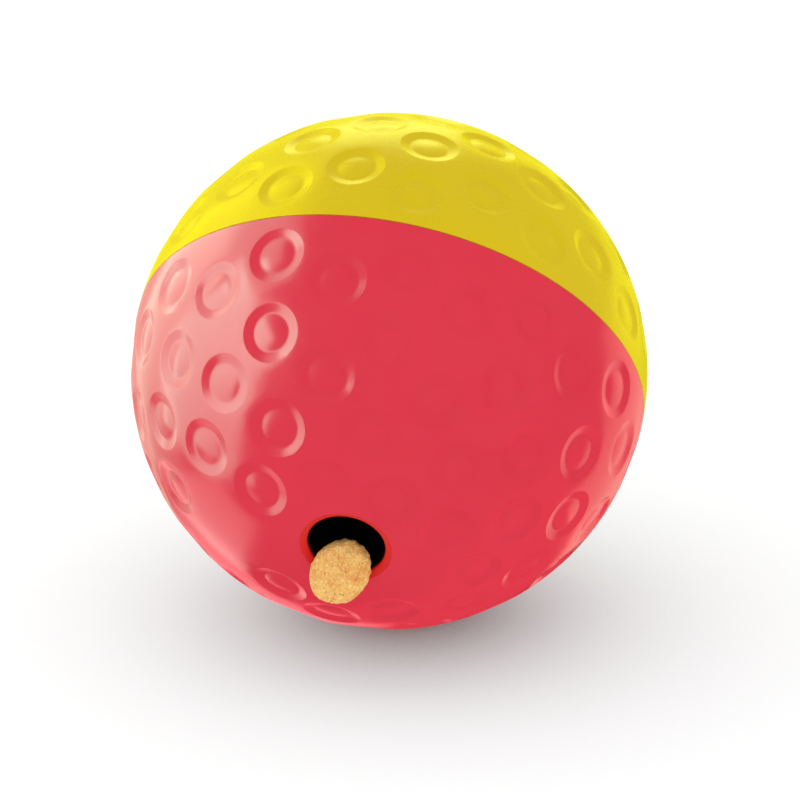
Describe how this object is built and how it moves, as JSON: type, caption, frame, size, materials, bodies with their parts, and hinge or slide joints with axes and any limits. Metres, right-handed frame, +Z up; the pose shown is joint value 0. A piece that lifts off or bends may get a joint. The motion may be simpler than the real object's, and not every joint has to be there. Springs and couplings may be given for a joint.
{
  "type": "treat ball",
  "caption": "Hollow dimpled ball for pets in red and yellow: half shells that twist together, a round mouth with an inner chute, and biscuits that tumble inside and drop out.",
  "frame": {"origin": "on the floor, under the middle of the dimple that the ball rests on", "axes": "+Z up, -Y towards the front, where the mouth is; the ball's polar axis lies in the YZ plane"},
  "size_m": [0.127, 0.127, 0.1264],
  "materials": {
    "red_plastic": "satin moulded plastic",
    "yellow_plastic": "satin moulded plastic",
    "black_plastic": "matt moulded plastic",
    "biscuit": "baked, dry and crumbly"
  },
  "bodies": {
    "red_half": {"red_shell": "red_plastic", "treat_chute": "black_plastic"},
    "yellow_half": {"yellow_shell": "yellow_plastic"},
    "leaving_biscuit": {"biscuit": "biscuit"},
    "fill": {"loose_biscuits": "biscuit"}
  },
  "joints": [
    {"name": "twist_lock", "type": "hinge", "parent": "red_half", "child": "yellow_half", "pos_m": [0, 0, 0.0631], "axis": [0, 0.8121, 0.5835], "range_deg": [0, 30]},
    {"name": "biscuit_drop", "type": "slide", "parent": "red_half", "child": "leaving_biscuit", "axis": [0.0644, -0.9267, -0.3701], "range_m": [0, 0.02]},
    {"name": "fill_tumble", "type": "hinge", "parent": "red_half", "child": "fill", "pos_m": [0, 0, 0.0631], "axis": [0, 0.8121, 0.5835], "continuous": true}
  ]
}
